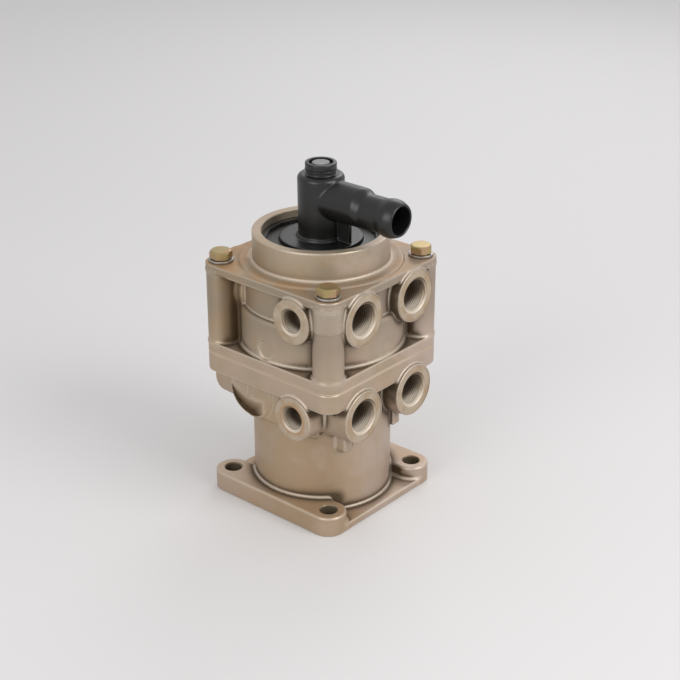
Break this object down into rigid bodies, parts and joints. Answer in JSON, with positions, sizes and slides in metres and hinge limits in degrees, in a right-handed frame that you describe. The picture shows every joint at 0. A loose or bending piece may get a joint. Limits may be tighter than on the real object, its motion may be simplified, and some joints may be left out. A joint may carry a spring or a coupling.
{
  "type": "service brake valve",
  "caption": "Dual-circuit pneumatic foot brake valve: two bolted cast housings on a square flange, side threaded ports and a swivelling plastic exhaust elbow.",
  "frame": {"origin": "on the valve axis, in the plane of the mounting face and of the tappet's end face", "axes": "+Z along the valve axis from the mounting face to the exhaust elbow; +X towards the large ports and the hose end; -Y towards the small ports"},
  "size_m": [0.1215, 0.112, 0.2281],
  "materials": {
    "casting": "gold-chromated die casting",
    "yellow_zinc": "yellow zinc plate",
    "zinc": "zinc plate",
    "black_plastic": "moulded, soft sheen",
    "grey_plastic": "moulded",
    "spring_steel": "drawn wire",
    "dark_steel": "phosphated",
    "machined_aluminium": "turned",
    "rubber": "moulded"
  },
  "bodies": {
    "housing": {"mounting_flange": "casting", "lower_barrel": "casting", "lower_housing": "casting", "upper_housing": "casting", "joint_o_ring": "rubber", "housing_bolt_1": "yellow_zinc", "housing_bolt_2": "yellow_zinc", "housing_bolt_3": "yellow_zinc", "housing_bolt_4": "yellow_zinc", "bolt_washer_1": "zinc", "bolt_washer_2": "zinc", "bolt_washer_3": "zinc", "bolt_washer_4": "zinc", "tappet_guide": "machined_aluminium", "tappet_wiper": "rubber", "guide_retaining_ring": "dark_steel", "primary_valve_guide": "machined_aluminium", "primary_valve_o_ring": "rubber", "secondary_valve_guide": "machined_aluminium", "secondary_valve_o_ring": "rubber", "primary_return_spring": "spring_steel", "primary_valve_spring": "spring_steel", "relay_return_spring": "spring_steel", "secondary_valve_spring": "spring_steel", "elbow_retaining_ring": "dark_steel"},
    "tappet": {"tappet": "machined_aluminium", "graduating_spring": "spring_steel"},
    "primary_piston": {"primary_piston": "machined_aluminium", "primary_piston_o_ring": "rubber"},
    "primary_valve": {"primary_inlet_valve": "rubber"},
    "relay_piston": {"relay_piston": "machined_aluminium", "relay_piston_o_ring": "rubber"},
    "secondary_valve": {"secondary_inlet_valve": "rubber"},
    "elbow": {"exhaust_elbow": "black_plastic", "vent_disc": "grey_plastic", "elbow_o_ring": "rubber"}
  },
  "joints": [
    {"name": "tappet_stroke", "type": "slide", "parent": "housing", "child": "tappet", "axis": [0, 0, 1], "range_m": [0, 0.011], "stiffness_N_per_m": 2000, "springref_m": -0.02, "deforming": ["graduating_spring"]},
    {"name": "primary_piston_stroke", "type": "slide", "parent": "housing", "child": "primary_piston", "axis": [0, 0, 1], "range_m": [0, 0.0034], "deforming": ["primary_return_spring"]},
    {"name": "primary_valve_stroke", "type": "slide", "parent": "housing", "child": "primary_valve", "axis": [0, 0, 1], "range_m": [0, 0.002], "deforming": ["primary_valve_spring"]},
    {"name": "relay_piston_stroke", "type": "slide", "parent": "housing", "child": "relay_piston", "axis": [0, 0, 1], "range_m": [0, 0.0034], "deforming": ["relay_return_spring"]},
    {"name": "secondary_valve_stroke", "type": "slide", "parent": "housing", "child": "secondary_valve", "axis": [0, 0, 1], "range_m": [0, 0.002], "deforming": ["secondary_valve_spring"]},
    {"name": "elbow_swivel", "type": "hinge", "parent": "housing", "child": "elbow", "pos_m": [0, 0, 0.18], "axis": [0, 0, 1], "continuous": true}
  ],
  "couplings": [
    {"joint": "primary_piston_stroke", "follows": "tappet_stroke", "ratio": 0.3},
    {"joint": "primary_valve_stroke", "follows": "tappet_stroke", "ratio": 0.18},
    {"joint": "relay_piston_stroke", "follows": "tappet_stroke", "ratio": 0.3},
    {"joint": "secondary_valve_stroke", "follows": "tappet_stroke", "ratio": 0.18}
  ]
}
